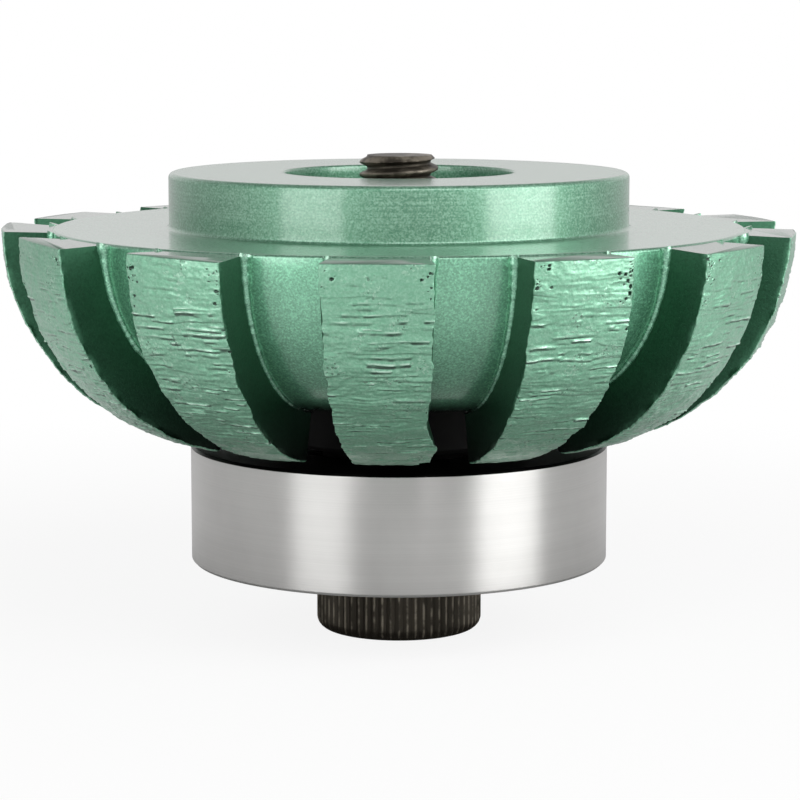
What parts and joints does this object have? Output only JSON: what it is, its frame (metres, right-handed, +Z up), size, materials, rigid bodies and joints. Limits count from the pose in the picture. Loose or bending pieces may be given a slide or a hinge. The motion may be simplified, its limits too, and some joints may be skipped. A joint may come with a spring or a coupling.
{
  "type": "diamond profile wheel",
  "caption": "Turned profile wheel with curved diamond segments round its rim, a recessed hub and a ball-bearing guide ring held by a shoulder screw, for rounding stone edges.",
  "frame": {"origin": "centre of the lower face of the screw's head, on the wheel's axis", "axes": "+Z up along the axis towards the threaded end; -Y faces the picture's camera"},
  "size_m": [0.0604, 0.0603, 0.0365],
  "materials": {
    "green_paint": "glossy metallic-flake green paint",
    "segment_paint": "green paint over a rough, pitted diamond face",
    "ring_steel": "fine turned satin",
    "bearing_steel": "ground",
    "cage_plastic": "moulded",
    "seal_rubber": "moulded",
    "black_oxide_steel": "black oxide"
  },
  "bodies": {
    "wheel": {"wheel_body": "green_paint", "segment_01": "segment_paint", "segment_02": "segment_paint", "segment_03": "segment_paint", "segment_04": "segment_paint", "segment_05": "segment_paint", "segment_06": "segment_paint", "segment_07": "segment_paint", "segment_08": "segment_paint", "segment_09": "segment_paint", "segment_10": "segment_paint", "segment_11": "segment_paint", "segment_12": "segment_paint", "segment_13": "segment_paint", "braze_fillets": "green_paint", "spacer": "black_oxide_steel", "bearing_inner_ring": "bearing_steel"},
    "pilot": {"guide_ring": "ring_steel", "bearing_outer_ring": "bearing_steel", "seal_upper": "seal_rubber", "seal_lower": "seal_rubber"},
    "cage": {"bearing_cage": "cage_plastic", "ball_1": "bearing_steel", "ball_2": "bearing_steel", "ball_3": "bearing_steel", "ball_4": "bearing_steel", "ball_5": "bearing_steel", "ball_6": "bearing_steel", "ball_7": "bearing_steel"},
    "screw": {"shoulder_screw": "black_oxide_steel"}
  },
  "joints": [
    {"name": "pilot_spin", "type": "hinge", "parent": "wheel", "child": "pilot", "pos_m": [0, 0, 0.009], "axis": [0, 0, 1], "continuous": true},
    {"name": "cage_spin", "type": "hinge", "parent": "wheel", "child": "cage", "pos_m": [0, 0, 0.009], "axis": [0, 0, 1], "continuous": true},
    {"name": "screw_turn", "type": "hinge", "parent": "wheel", "child": "screw", "pos_m": [0, 0, 0.0055], "axis": [0, 0, 1], "continuous": true}
  ],
  "couplings": [
    {"joint": "cage_spin", "follows": "pilot_spin", "ratio": 0.6323}
  ]
}
